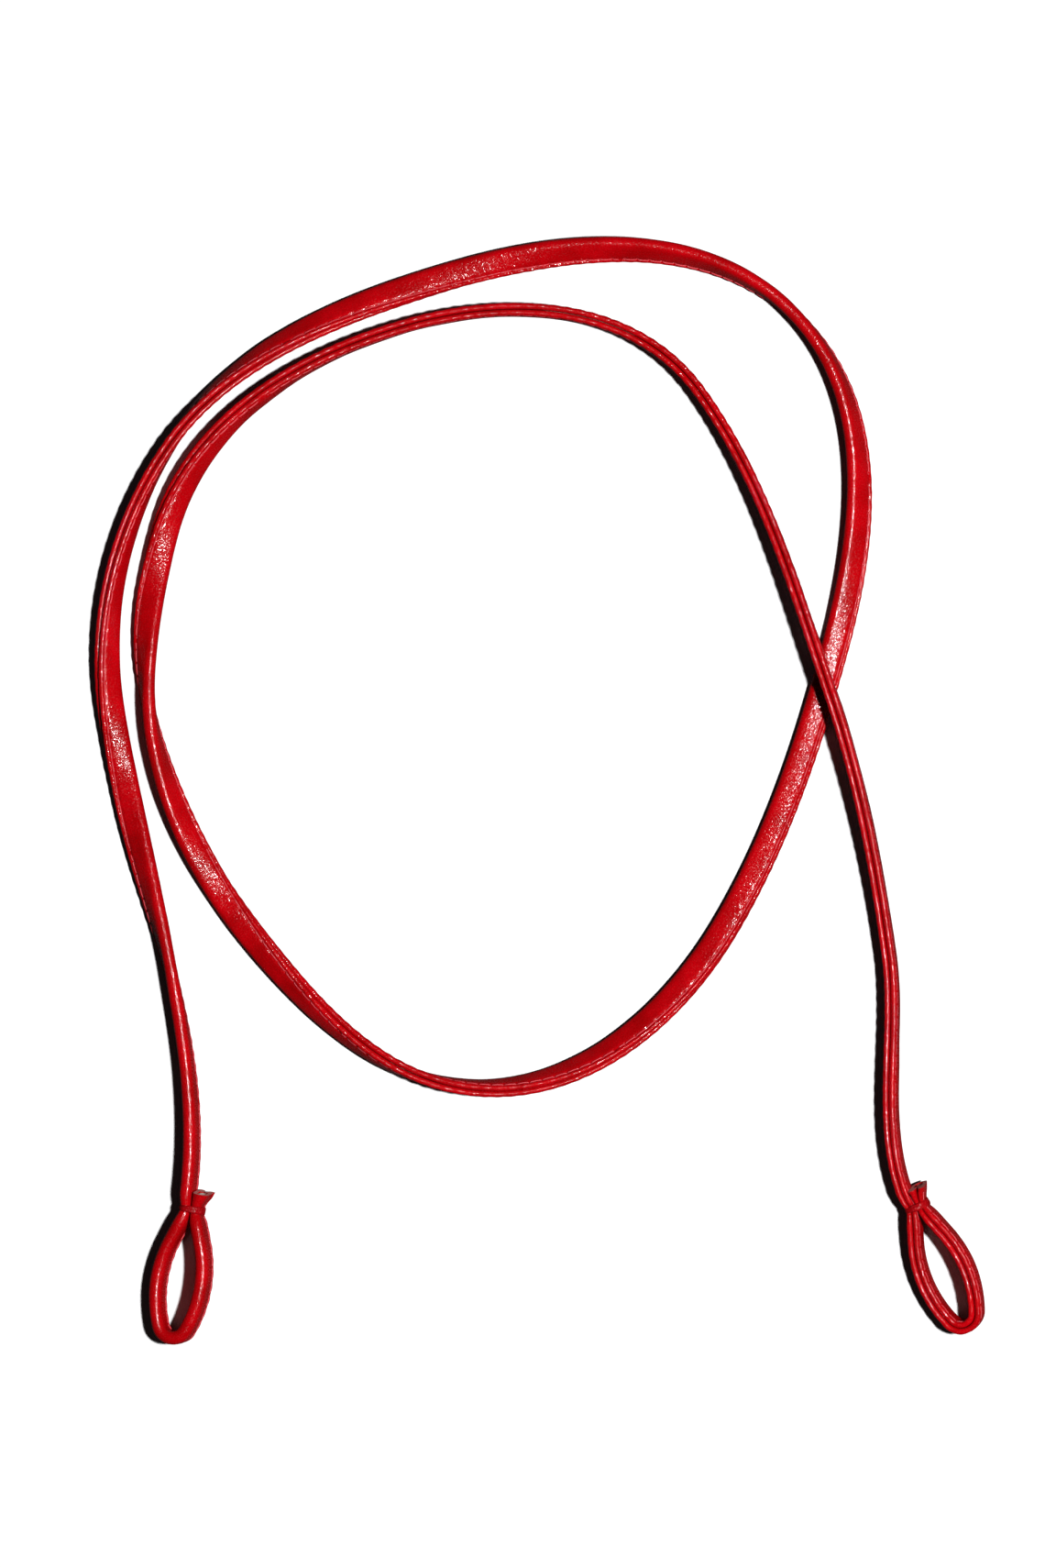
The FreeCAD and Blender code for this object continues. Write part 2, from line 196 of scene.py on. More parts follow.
def section_from_cad(threads, core, place, run):
    """The middle of the strap's section and its u, from the two seam threads and the core."""
    seam = crossings(threads, place, run)
    offsets = seam - seam.mean(0)
    far = offsets[np.argmax(np.linalg.norm(offsets, axis=1))]
    one, other = seam[offsets @ far > 0].mean(0), seam[offsets @ far <= 0].mean(0)
    through = unit(one - other)
    middle = (one + other) / 2
    across = middle - crossings(core, place, run).mean(0)
    across = unit(across - through * (across @ through))
    return middle - across * SEAM_U, across


def strap_line(spacing=9 * MM, margin=6 * MM):
    """Middles and u directions along the strap between the two necks."""
    places, runs = stations()
    middles, across = [], []
    for n in range(len(places) - 1):
        threads = node_edges("seam_thread_{:02d}".format(n + 1))
        core = node_edges("core_{:02d}".format(n + 1))
        span = np.linalg.norm(places[n + 1] - places[n])
        for t in np.linspace(margin / span, 1 - margin / span, round(span / spacing)):
            place, run = plan_curve(places[n], places[n + 1], runs[n], runs[n + 1], t)
            middle, u = section_from_cad(threads, core, place, run)
            middles.append(middle)
            across.append(u)
    return np.array(middles), np.array(across), places, runs


def neck_frame(n, places, runs):
    """Place, way out along the eye, u and sideways direction at the neck of an eye."""
    side = -np.array(frame["joints"][n]["axis"])
    out = runs[n] if n else -runs[n]
    return places[n], out, unit(np.cross(runs[n], side)), unit(side)


def eye_turtle(step=1.0 * MM):
    """The eye's line in its own plane, (along, sideways), from the neck round to the stub's end."""
    widened = NECK_OFFSET + NECK_RADIUS * (1 - math.cos(EYE_SPREAD)) + EYE_LEG * math.sin(EYE_SPREAD)
    closing = math.acos((EYE_FLANK * math.cos(EYE_SPREAD) - widened) / (EYE_FLANK - EYE_TIP))
    start = (NECK_STRAIGHT, 0)
    splay = (NECK_RADIUS * EYE_SPREAD, -EYE_SPREAD)
    leg = (EYE_LEG, 0)
    flank = (EYE_FLANK * (EYE_SPREAD + closing), EYE_SPREAD + closing)
    tip = (EYE_TIP * (math.pi - 2 * closing), math.pi - 2 * closing)
    moves = (start, splay, leg, flank, tip, flank, leg, splay, (NECK_STRAIGHT + STUB, 0))
    points = [np.array([0.0, -NECK_OFFSET])]
    heading = 0.0
    for length, turn in moves:
        count = max(2, round(length / step))
        for _ in range(count):
            heading += turn / count / 2
            chord = length / count
            points.append(points[-1] + chord * np.array([math.cos(heading), math.sin(heading)]))
            heading += turn / count / 2
    return np.array(points)


def eye_line(n, places, runs):
    """Middles and u directions of an eye, from the neck outwards."""
    place, out, u, side = neck_frame(n, places, runs)
    plan = eye_turtle()
    points = place + side * NECK_OFFSET + np.outer(plan[:, 0], out) + np.outer(plan[:, 1], side)
    return points, np.repeat([u], len(points), axis=0)


class Line:
    """The whole strap: its middle and section directions at any s."""

    def __init__(self):
        middles, across, places, runs = strap_line()
        left, left_u = eye_line(0, places, runs)
        right, right_u = eye_line(len(places) - 1, places, runs)
        points = np.vstack([left[::-1], middles, right])
        self.across = np.vstack([left_u[::-1], across, right_u])
        self.points = points
        self.s = np.concatenate([[0], np.cumsum(np.linalg.norm(np.diff(points, axis=0), axis=1))])
        self.slopes = self.tangents(self.points)
        self.u_slopes = self.tangents(self.across)
        self.left_neck = self.s[len(left) - 1]
        self.right_neck = self.s[len(left) + len(middles)]
        self.end = self.s[-1]
        self.places, self.runs = places, runs

    def tangents(self, values):
        """Slope of each value along s, from the circle through its neighbours."""
        gaps = np.diff(self.s)[:, None]
        rates = np.diff(values, axis=0) / gaps
        inner = (rates[:-1] * gaps[1:] + rates[1:] * gaps[:-1]) / (gaps[:-1] + gaps[1:])
        return np.vstack([rates[:1], inner, rates[-1:]])

    def blend(self, values, slopes, s):
        k = np.clip(np.searchsorted(self.s, s) - 1, 0, len(self.s) - 2)
        span = (self.s[k + 1] - self.s[k])[:, None]
        t = (s[:, None] - self.s[k][:, None]) / span
        return (
            values[k] * (2 * t**3 - 3 * t**2 + 1) + slopes[k] * span * (t**3 - 2 * t**2 + t)
            + values[k + 1] * (3 * t**2 - 2 * t**3) + slopes[k + 1] * span * (t**3 - t**2)
        )

    def frames(self, s):
        """Middle, u and v at each s."""
        nudge = 0.2 * MM
        low, high = np.clip(s - nudge, 0, self.end), np.clip(s + nudge, 0, self.end)
        middle = self.blend(self.points, self.slopes, s)
        run = unit(self.blend(self.points, self.slopes, high) - self.blend(self.points, self.slopes, low))
        u = self.blend(self.across, self.u_slopes, s)
        u = unit(u - run * np.sum(u * run, axis=1, keepdims=True))
        return middle, u, np.cross(u, run)

    def nearest(self, place):
        """s of the strap's middle that is nearest to a place, between the necks."""
        inside = (self.s >= self.left_neck - MM) & (self.s <= self.right_neck + MM)
        fine = np.linspace(self.s[inside][0], self.s[inside][-1], 6000)
        points = self.blend(self.points, self.slopes, fine)
        return fine[np.argmin(np.linalg.norm(points - place, axis=1))]


line = Line()


# ---- where the binding pinches the legs, and the flare of the stubs ----

LEFT_PINCHES = (line.left_neck - BINDING_PLACE, STUB + BINDING_PLACE)
RIGHT_PINCHES = (line.right_neck + BINDING_PLACE, line.end - STUB - BINDING_PLACE)


def bump(x, reach):
    return np.exp(-(x / reach) ** 2)


def pinch(s):
    """How much each leg is squeezed: 1 under the middle of a binding. The cut stub gives more."""
    leg = bump(s - LEFT_PINCHES[0], PINCH_REACH) + bump(s - RIGHT_PINCHES[0], PINCH_REACH)
    stub = bump(s - LEFT_PINCHES[1], PINCH_REACH) + bump(s - RIGHT_PINCHES[1], PINCH_REACH)
    return leg + STUB_SQUEEZE * stub


def from_cut_end(s):
    """Distance along the strap from the nearer cut end."""
    return np.minimum(s, line.end - s)


def flare(s):
    """1 at a cut end, falling to 0 at the binding."""
    return np.clip(1 - from_cut_end(s) / STUB, 0, 1) ** 1.5


def squeeze(s):
    """How much narrower and thinner the strap is at each s, or thicker towards a cut end."""
    squeezed = pinch(s)
    return 1 - SQUEEZE_ACROSS * squeezed, 1 - SQUEEZE_THROUGH * squeezed + STUB_OPENING * flare(s)


# ---- the section of the folded leather ----

def arc(centre_u, centre_v, radius, start, end, count):
    angles = np.radians(np.linspace(start, end, count))
    return [(centre_u + radius * math.cos(a), centre_v + radius * math.sin(a)) for a in angles]


def outer_half():
    """The seen outline on the +v side, from inside the slit over the lip and face to the spine."""
    lip = HALF_WIDTH - LIP_RADIUS
    spine = HALF_THICK - HALF_WIDTH
    slit = [(FLAP_END, 0.5 * SLIT), (3.2 * MM, 0.6 * SLIT), (4.2 * MM, SLIT)]
    rim = arc(lip, LIP_RADIUS + SLIT, LIP_RADIUS, -90, 80, 9)
    face_u = (4.55, 4.2, 3.95, 3.7, 3.35, 2.8, 2.0, 1.0, 0.0, -1.0, -2.0, -2.8)
    face_v = (2.72, 2.62, 2.58, 2.62, 2.74, 2.88, 2.97, 3.02, 3.04, 3.05, 3.04, 3.02)
    face = [(u * MM, v * MM) for u, v in zip(face_u, face_v)]
    rolled = arc(spine, 0, HALF_THICK, 84, 180, 8)
    return slit + rim + face + rolled


def inner_half():
    """The hidden inside of the folded sheet on the +v side, from the spine to the flap's end."""
    spine = HALF_THICK - HALF_WIDTH
    inside = HALF_THICK - LEATHER
    return arc(spine, 0, inside, 180, 90, 4) + [(FLAP_END, inside)]


class Section:
    """The folded sheet's outline as one closed loop, with how each point takes surface relief."""

    def __init__(self):
        upper = np.array(outer_half())
        lower = upper[-2::-1] * [1, -1]
        outer = np.vstack([upper, lower])
        inside = np.array(inner_half())
        inner = np.vstack([inside[:0:-1] * [1, -1], inside])
        self.points = np.vstack([outer, inner])
        self.outer_count = len(outer)
        self.side = np.sign(self.points[:, 1])
        steps = np.linalg.norm(np.diff(self.points, axis=0, append=self.points[:1]), axis=1)
        self.around = np.concatenate([[0], np.cumsum(steps)[:-1]])
        ahead = np.roll(outer, -1, axis=0) - np.roll(outer, 1, axis=0)
        ahead[0], ahead[-1] = outer[1] - outer[0], outer[-1] - outer[-2]
        self.normals = np.zeros_like(self.points)
        self.normals[:self.outer_count] = unit(np.column_stack([ahead[:, 1], -ahead[:, 0]]))
        if self.normals[self.outer_count // 2, 0] > 0:
            self.normals *= -1
        u, v = self.points.T
        seen = np.arange(len(u)) < self.outer_count
        self.on_face = seen & (np.abs(v) > 0.7 * HALF_THICK) & (u < 5.4 * MM)
        self.valley = np.where(self.on_face, bump(u - SEAM_U, 0.55 * MM), 0)
        self.pucker = np.where(self.on_face, np.exp(-np.abs(u - SEAM_U) / (1.7 * MM)), 0)
        crown = np.clip((3.4 * MM - u) / (2 * MM), 0, 1) * np.clip((u + HALF_WIDTH) / (2.5 * MM), 0, 1)
        self.crown = np.where(seen, crown, 0)
        self.lip = np.where(seen & (u > 4.6 * MM), np.clip(np.abs(v) / MM, 0, 1), 0)


section = Section()


def ripples(seed, s, around, wavelength, lean, count=10):
    """Smooth irregular waves about 1 high whose crests lie across the strap, give or take lean."""
    draw = random.Random(seed)
    total = np.zeros(np.broadcast(s, around).shape)
    for _ in range(count):
        length = wavelength * draw.uniform(0.6, 1.7)
        slant = draw.gauss(0, lean)
        phase = draw.uniform(0, 2 * math.pi)
        total += np.sin(2 * math.pi * (s + slant * around) / length + phase)
    return total / math.sqrt(count / 2) / 1.6


def creased(s):
    """1 inside the creased stretches of the strap, 0 well away from them."""
    total = np.zeros_like(s)
    for start, end in CREASED:
        middle = line.left_neck + (start + end) / 2 * MM
        total += bump(s - middle, 0.75 * (end - start) * MM)
    return np.clip(total, 0, 1)


def stitch_phase(s):
    """Signed distance to the nearest stitch hole."""
    return (s - line.left_neck + PITCH / 2) % PITCH - PITCH / 2


def relief(s):
    """How far each point of the section stands out at each s: rings by section points."""
    s = s[:, None]
    hole = bump(stitch_phase(s), 0.75 * MM)
    between = -np.cos(2 * math.pi * stitch_phase(s) / PITCH)
    around = section.around[None, :]
    long = ripples(1, s, around, 38 * MM, 0.6)
    small = ripples(2, s, around, 5.0 * MM, 0.35)
    fine = ripples(3, s, around, 2.6 * MM, 0.25)
    uneven = 1 + 0.35 * ripples(4, s, 0 * around, 14 * MM, 0)
    creases = (0.25 + creased(s)) * section.crown
    return MM * (
        -HOLE_DEPTH * section.valley * hole * uneven
        - SEAM_DEPTH * section.valley
        + PUCKER_HEIGHT * section.pucker * between * uneven
        + LIP_PUCKER * section.lip * between
        + LONG_WAVE * section.crown * long
        + CREASE_HEIGHT * creases * small
        + FINE_CREASE_HEIGHT * creases * fine
        + LIP_CREASE_HEIGHT * section.lip * small
    )


def skin_rings(s):
    """The points of the folded leather at each s: rings by section points by xyz."""
    middle, u, v = line.frames(s)
    stood = section.points[None] + section.normals[None] * relief(s)[:, :, None]
    scale_u, scale_v = squeeze(s)
    across = stood[:, :, 0] * scale_u[:, None]
    through = stood[:, :, 1] * scale_v[:, None]
    lips = np.clip(section.points[:, 0] / HALF_WIDTH, 0, 1) * section.side
    through += LIP_OPENING * flare(s)[:, None] * lips[None]
    return placed(s, middle, u, v, across, through)


def placed(s, middle, u, v, across, through):
    """Section coordinates set in space, with the legs drawn together at a binding. The stubs lift
    a little towards their cut ends, and the cuts lean back."""
    shift = PINCH_SHIFT * pinch(s) - STUB_SHIFT * flare(s)
    rise = STUB_RISE * flare(s)
    centre = middle + v * shift[:, None] + UP * rise[:, None]
    offsets = u[:, None] * across[:, :, None] + v[:, None] * through[:, :, None]
    inwards = np.cross(v, u) * np.where(s < line.end / 2, 1, -1)[:, None]
    cut_back = CUT_SLANT * flare(s)[:, None] * (1 + offsets[:, :, 2] / HALF_WIDTH)
    return centre[:, None] + offsets + inwards[:, None] * cut_back[:, :, None]


# ---- meshes ----

lead_pieces = bpy.data.collections.new("lead_pieces")


def add_object(name, points, faces, uvs, material):
    mesh = bpy.data.meshes.new(name)
    mesh.from_pydata([tuple(p) for p in points], [], faces)
    layer = mesh.uv_layers.new(name="strap")
    loops = np.zeros(len(mesh.loops), int)
    mesh.loops.foreach_get("vertex_index", loops)
    layer.data.foreach_set("uv", np.asarray(uvs, float)[loops].ravel())
    mesh.polygons.foreach_set("use_smooth", [True] * len(mesh.polygons))
    mesh.materials.append(material)
    piece = bpy.data.objects.new(name, mesh)
    bpy.context.scene.collection.objects.link(piece)
    lead_pieces.objects.link(piece)
    return piece


def tube_faces(rings, around):
    """Quads between rings of a closed outline, and a face over each end."""
    faces = []
    for i in range(rings - 1):
        for j in range(around):
            k = (j + 1) % around
            a, b = i * around, (i + 1) * around
            faces.append((a + j, a + k, b + k, b + j))
    faces.append(tuple(range(around))[::-1])
    faces.append(tuple(range((rings - 1) * around, rings * around)))
    return faces


def sweep(name, rings, along, around, material, cut_material=None):
    """A closed solid through rings of points. The ends keep a sharp edge."""
    count, size = rings.shape[:2]
    uvs = np.stack(np.broadcast_arrays(along[:, None], around[None, :]), axis=-1).reshape(-1, 2)
    piece = add_object(name, rings.reshape(-1, 3), tube_faces(count, size), uvs, material)
    if cut_material:
        piece.data.materials.append(cut_material)
    shape = bmesh.new()
    shape.from_mesh(piece.data)
    shape.faces.ensure_lookup_table()
    for cap in shape.faces[-2:]:
        cap.smooth = False
        cap.material_index = 1 if cut_material else 0
        for edge in cap.edges:
            edge.smooth = False
    bmesh.ops.recalc_face_normals(shape, faces=shape.faces)
    shape.to_mesh(piece.data)
    shape.free()
    return piece


def set_weight(piece, name, values):
    attribute = piece.data.attributes.new(name, "FLOAT", "POINT")
    attribute.data.foreach_set("value", np.asarray(values, np.float32).ravel())


# ---- materials ----

class Nodes:
    """Short calls for building a material's nodes."""

    def __init__(self, name):
        self.material = bpy.data.materials.new(name)
        self.material.use_nodes = True
        self.tree = self.material.node_tree
        self.surface = self.tree.nodes["Principled BSDF"]

    def add(self, kind, inputs=None, **settings):
        node = self.tree.nodes.new("ShaderNode" + kind)
        for key, value in settings.items():
            setattr(node, key, value)
        for key, value in (inputs or {}).items():
            self.put(node, key, value)
        return node

    def put(self, node, key, value):
        if isinstance(value, bpy.types.NodeSocket):
            self.tree.links.new(value, node.inputs[key])
        else:
            node.inputs[key].default_value = value

    def math(self, operation, first, second=0.0, third=0.0):
        node = self.add("Math", {0: first, 1: second, 2: third}, operation=operation)
        return node.outputs[0]

    def ramp(self, value, low, high, to_low=0.0, to_high=1.0):
        node = self.add("MapRange", {"Value": value, "From Min": low, "From Max": high,
                                     "To Min": to_low, "To Max": to_high})
        return node.outputs["Result"]

    def mix(self, share, first, second):
        node = self.add("Mix", data_type="RGBA")
        self.put(node, "Factor", share)
        self.put(node, 6, first)
        self.put(node, 7, second)
        return node.outputs[2]

    def strap_mm(self, along, across):
        """Coordinates on the strap in millimetres, stretched by along and across."""
        uv = self.add("UVMap", uv_map="strap").outputs[0]
        scaled = self.add("VectorMath", {0: uv, 1: (along / MM, across / MM, 1)}, operation="MULTIPLY")
        return scaled.outputs[0]

    def noise(self, vector, scale, detail=3.0, roughness=0.5):
        node = self.add("TexNoise", {"Vector": vector, "Scale": scale, "Detail": detail,
                                     "Roughness": roughness})
        return node.outputs["Fac"]

    def cells(self, vector, scale):
        """Distance to the nearest border between irregular cells."""
        node = self.add("TexVoronoi", {"Vector": vector, "Scale": scale}, feature="DISTANCE_TO_EDGE")
        return node.outputs["Distance"]

    def bump(self, height, distance, normal=None):
        node = self.add("Bump", {"Height": height, "Distance": distance, "Strength": 1.0})
        if normal:
            self.put(node, "Normal", normal)
        return node.outputs["Normal"]

    def finish(self, **inputs):
        for key, value in inputs.items():
            self.put(self.surface, key.replace("_", " "), value)
        return self.material


def leather(name, light, dark, roughness, gloss):
    """Glossy dyed leather: pebbled grain, pores, fine creases across the strap, worn rims."""
    n = Nodes(name)
    plain = n.strap_mm(1, 1)
    warped = n.add("VectorMath", {0: plain, 1: n.add("TexNoise", {"Vector": plain, "Scale": 0.9})
                                  .outputs["Color"]}, operation="ADD").outputs[0]
    grain = n.ramp(n.cells(warped, 0.95), 0.0, 0.40)
    pores = n.noise(plain, 0.9, 3.0, 0.55)
    creases = n.ramp(n.cells(n.strap_mm(1.0, 0.32), 0.85), 0.0, 0.10)
    crease_share = n.add("Attribute", attribute_name="creased").outputs["Fac"]
    rim_share = n.add("Attribute", attribute_name="rim").outputs["Fac"]
    cloud = n.noise(plain, 0.06, 4.0)
    colour = n.mix(n.ramp(cloud, 0.35, 0.65), dark, light)
    pits = n.ramp(grain, 0.0, 0.5, 0.35, 0.0)
    colour = n.mix(pits, colour, tuple(0.45 * c for c in dark[:3]) + (1,))
    worn = n.math("MULTIPLY", rim_share, n.ramp(n.noise(plain, 0.5, 4.0), 0.5, 0.75, 0.0, 0.30))
    colour = n.mix(worn, colour, tuple(min(1, 1.35 * c + 0.01) for c in light[:3]) + (1,))
    rough = n.ramp(n.noise(plain, 0.7, 4.0), 0.3, 0.7, roughness - 0.05, roughness + 0.08)
    height = n.math("MULTIPLY_ADD", grain, 0.4, pores)
    polish = n.math("MULTIPLY", n.ramp(n.noise(plain, 1.0, 2.0), 0.44, 0.56, 0.05, 1.0), gloss)
    sheen = n.ramp(n.noise(plain, 1.2, 2.0), 0.50, 0.60, 0.0, 0.28)
    deep = n.math("MULTIPLY", creases, n.ramp(crease_share, 0.0, 1.0, 0.10, 1.0))
    normal = n.bump(deep, 0.08 * MM)
    normal = n.bump(height, 0.10 * MM, normal)
    return n.finish(Base_Color=colour, Roughness=rough, Normal=normal, Coat_Weight=polish,
                    Coat_Roughness=0.12, Coat_Normal=normal, Specular_IOR_Level=sheen)


def raw_edge():
    """Cut leather: paler dyed fibres with a layered, felted grain."""
    n = Nodes("raw_leather_edge")
    plain = n.strap_mm(1, 1)
    fibres = n.noise(plain, 2.5, 5.0, 0.7)
    colour = n.mix(n.ramp(fibres, 0.35, 0.7), (0.55, 0.10, 0.09, 1), (0.80, 0.36, 0.32, 1))
    return n.finish(Base_Color=colour, Roughness=0.85, Normal=n.bump(fibres, 0.12 * MM))


def thread_material():
    """Waxed thread: two plies twisted together, in stripes of deep and pale red; the pale stripes are
    lightened into a painted highlight of the thread's gloss.
    """
    n = Nodes("waxed_thread")
    uv = n.strap_mm(1, 1)
    twist = n.add("TexWave", {"Vector": n.add("Mapping", {"Vector": uv, "Rotation": (0, 0, 0.7)}).outputs[0],
                              "Scale": 1.2, "Distortion": 0.6})
    plies_and_painted_highlight = twist.outputs["Fac"]
    # the pale red of the twist is partly the plies' own colour and partly a painted highlight
    colour = n.mix(plies_and_painted_highlight, (0.45, 0.006, 0.012, 1), (0.90, 0.085, 0.110, 1))
    return n.finish(Base_Color=colour, Roughness=0.28, Normal=n.bump(plies_and_painted_highlight, 0.05 * MM),
                    Specular_IOR_Level=0.6)


def cord_material():
    """Undyed cotton filler cord: a coarse slanted twist with loose fibres."""
    n = Nodes("cotton_cord")
    uv = n.strap_mm(1, 1)
    turned = n.add("Mapping", {"Vector": uv, "Rotation": (0, 0, 0.6)}).outputs[0]
    twist = n.add("TexWave", {"Vector": turned, "Scale": 0.35, "Distortion": 1.5, "Detail": 3.0})
    height = n.math("MULTIPLY_ADD", n.noise(uv, 4.0), 0.4, twist.outputs["Fac"])
    colour = n.mix(height, (0.42, 0.33, 0.22, 1), (0.74, 0.66, 0.52, 1))
    return n.finish(Base_Color=colour, Roughness=0.92, Normal=n.bump(height, 0.25 * MM), Sheen_Weight=0.4)


RED_LIGHT = (0.54, 0.0006, 0.004, 1)
RED_DARK = (0.38, 0.0004, 0.002, 1)
strap_leather = leather("red_leather", RED_LIGHT, RED_DARK, 0.36, 0.9)
THONG_LIGHT = (0.42, 0.0016, 0.005, 1)
THONG_DARK = (0.27, 0.0010, 0.003, 1)
thong_leather = leather("red_thong_leather", THONG_LIGHT, THONG_DARK, 0.42, 0.15)
cut_leather = raw_edge()
thread_red = thread_material()
cotton = cord_material()


# ---- the pieces of the strap, one set for each flexible place ----


def splits():
    """s where one flexible place's pieces end and the next one's begin: halfway between them."""
    stops = [line.nearest(place) for place in line.places]
    halves = [(a + b) / 2 for a, b in zip(stops, stops[1:])]
    return [0.0] + halves + [line.end]


SPLITS = splits()
LAST_PLACE = len(SPLITS) - 2


def part_name(n, what):
    if n == 0:
        return "left_eye_" + what
    if n == LAST_PLACE:
        return "right_eye_" + what
    return "{}_{:02d}".format(what, n)


def bend_with(piece):
    """Moves the piece's placement into its mesh points."""
    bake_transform(piece)


def stood_for(n, kind):
    """The CAD nodes of one kind that the pieces at flexible place n stand for."""
    nodes = []
    if n == 0:
        nodes.append("left_eye_" + kind)
    if n < LAST_PLACE:
        nodes.append("{}_{:02d}".format(kind, n + 1))
    if n == LAST_PLACE:
        nodes.append("right_eye_" + kind)
    return nodes


def even_steps(start, end, step):
    return np.linspace(start, end, max(3, round((end - start) / step)) + 1)


def leather_piece(n):
    s = even_steps(SPLITS[n], SPLITS[n + 1], RING_STEP)
    rings = skin_rings(s)
    piece = sweep(part_name(n, "leather"), rings, s, section.around, strap_leather, cut_leather)
    creases = np.repeat(creased(s), rings.shape[1])
    set_weight(piece, "creased", creases)
    rim = np.tile(np.where(np.arange(rings.shape[1]) < section.outer_count, section.lip, 0), len(s))
    set_weight(piece, "rim", rim)
    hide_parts(*stood_for(n, "cover"))
    bend_with(piece)


def thread_places(start, end):
    """s and height of the thread's middle: along the face, then down each hole to the lock."""
    first = math.ceil((start - line.left_neck) / PITCH)
    last = math.floor((end - line.left_neck) / PITCH)
    stops, heights = [], []
    for k in range(first, last + 1):
        hole = line.left_neck + k * PITCH
        for offset, sunk in LOCK_PATH:
            if start <= hole + offset * MM <= end:
                stops.append(hole + offset * MM)
                heights.append(THREAD_HEIGHT - sunk * MM)
    return np.array(stops), np.array(heights)


def round_outline(radius, count):
    turn = np.arange(count) * 2 * math.pi / count
    return radius * np.column_stack([np.cos(turn), np.sin(turn)])


def thread_piece(n, side, name):
    """One continuous thread of the lock stitch, on one face."""
    margin = 1.2 * MM
    s, height = thread_places(SPLITS[n] + (margin if n == 0 else 0),
                              SPLITS[n + 1] - (margin if n == LAST_PLACE else 0))
    middle, u, v = line.frames(s)
    scale_u, scale_v = squeeze(s)
    across = (SEAM_U * scale_u)[:, None]
    through = (side * height * scale_v + side * SEAM_OPENING * flare(s))[:, None]
    path = placed(s, middle, u, v, across, through)[:, 0]
    ahead = unit(np.gradient(path, axis=0))
    upright = unit(np.cross(ahead, u))
    ring = round_outline(THREAD_RADIUS, THREAD_SIDES)
    rings = path[:, None] + u[:, None] * ring[None, :, :1] + upright[:, None] * ring[None, :, 1:]
    around = np.arange(THREAD_SIDES) * THREAD_RADIUS
    piece = sweep(part_name(n, name), rings, s, around, thread_red)
    bend_with(piece)
    return piece


def cord_piece(n):
    """The flat filler cord inside the fold, just short of a cut end."""
    start = SPLITS[n] + (CORD_RECESS if n == 0 else 0)
    end = SPLITS[n + 1] - (CORD_RECESS if n == LAST_PLACE else 0)
    s = even_steps(start, end, CORD_STEP)
    half = HALF_THICK - LEATHER - CORD_GAP
    spine = HALF_THICK - HALF_WIDTH
    edge = FLAP_END - CORD_EDGE_GAP
    outline = np.array(arc(spine, 0, half, 90, 270, 7) + arc(edge - 0.5 * half, 0, half, -60, 60, 5))
    middle, u, v = line.frames(s)
    scale = (1 - SQUEEZE_THROUGH * pinch(s))[:, None]
    rings = placed(s, middle, u, v, outline[None, :, 0] * scale, outline[None, :, 1] * scale)
    around = np.arange(len(outline)) * MM
    piece = sweep(part_name(n, "filler_cord"), rings, s, around, cotton)
    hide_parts(*stood_for(n, "core"))
    bend_with(piece)


# ---- bindings ----

def thong_path(place, out, u, side):
    """The thong's middle line. Its turns lie together over the strap's leg and apart over the
    stub, the second rides over the first, and both ends are tucked under."""
    middle = place + side * NECK_OFFSET + out * BINDING_PLACE
    wound = np.linspace(0, 1, THONG_RINGS)
    angle = np.linspace(0, THONG_TURNS * 2 * math.pi, THONG_RINGS) + THONG_START
    c, d = np.cos(angle), np.sin(angle)
    reach = (np.abs(c) ** THONG_SQUARENESS + np.abs(d) ** THONG_SQUARENESS) ** (-1 / THONG_SQUARENESS)
    over = np.clip((wound * THONG_TURNS - 1) * 3, 0, 1)
    lumps = ripples(7, wound * THONG_LENGTH, np.zeros(THONG_RINGS), 9 * MM, 0)
    lift = 0.35 * MM * over * np.clip(-c + 0.4, 0, 1) + 0.16 * MM * lumps
    tucked = np.clip((wound - 0.96) / 0.04, 0, 1) + np.clip((0.03 - wound) / 0.03, 0, 1)
    lift -= 0.8 * MM * tucked
    apart = (0.5 + 0.5 * c) ** 1.2
    offset = (wound - 0.5) * THONG_SPREAD * (0.2 + 0.8 * apart)
    path = (
        middle
        + np.outer((THONG_HALF_SIDE + lift) * reach * c, side)
        + np.outer((THONG_HALF_U + lift) * reach * d, u)
        + np.outer(offset + 0.08 * MM * lumps, out)
    )
    return path, path - middle


def thong_rings(path, from_middle, out):
    """Flat rounded sections along the thong's path, turned to lie almost flat round the legs."""
    ahead = unit(np.gradient(path, axis=0))
    outward = unit(from_middle - ahead * np.sum(from_middle * ahead, axis=1, keepdims=True))
    outward = unit(outward - np.outer(outward @ out, out) * 0.6)
    wide = np.cross(ahead, outward)
    turn = np.arange(THONG_SIDES) * 2 * math.pi / THONG_SIDES
    flat = np.sign(np.cos(turn)) * np.abs(np.cos(turn)) ** 0.7
    ring = np.column_stack([flat * THONG_WIDTH / 2, np.sin(turn) * THONG_THICK / 2])
    along = np.linspace(0, 1, THONG_RINGS) * THONG_LENGTH
    swell = (1 + 0.10 * ripples(8, along, np.zeros(THONG_RINGS), 6 * MM, 0))[:, None, None]
    return path[:, None] + swell * (wide[:, None] * ring[None, :, :1] + outward[:, None] * ring[None, :, 1:])


def binding_piece(n, name, cad_node):
    """A thong wound twice round both legs of an eye."""
    place, out, u, side = neck_frame(n, line.places, line.runs)
    path, from_middle = thong_path(place, out, u, side)
    rings = thong_rings(path, from_middle, out)
    along = np.linspace(0, THONG_LENGTH, THONG_RINGS)
    piece = sweep(name, rings, along, np.arange(THONG_SIDES) * 0.6 * MM, thong_leather)
    set_weight(piece, "creased", np.full(THONG_RINGS * THONG_SIDES, 0.8))
    set_weight(piece, "rim", np.zeros(THONG_RINGS * THONG_SIDES))
    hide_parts(cad_node)
    bend_with(piece)


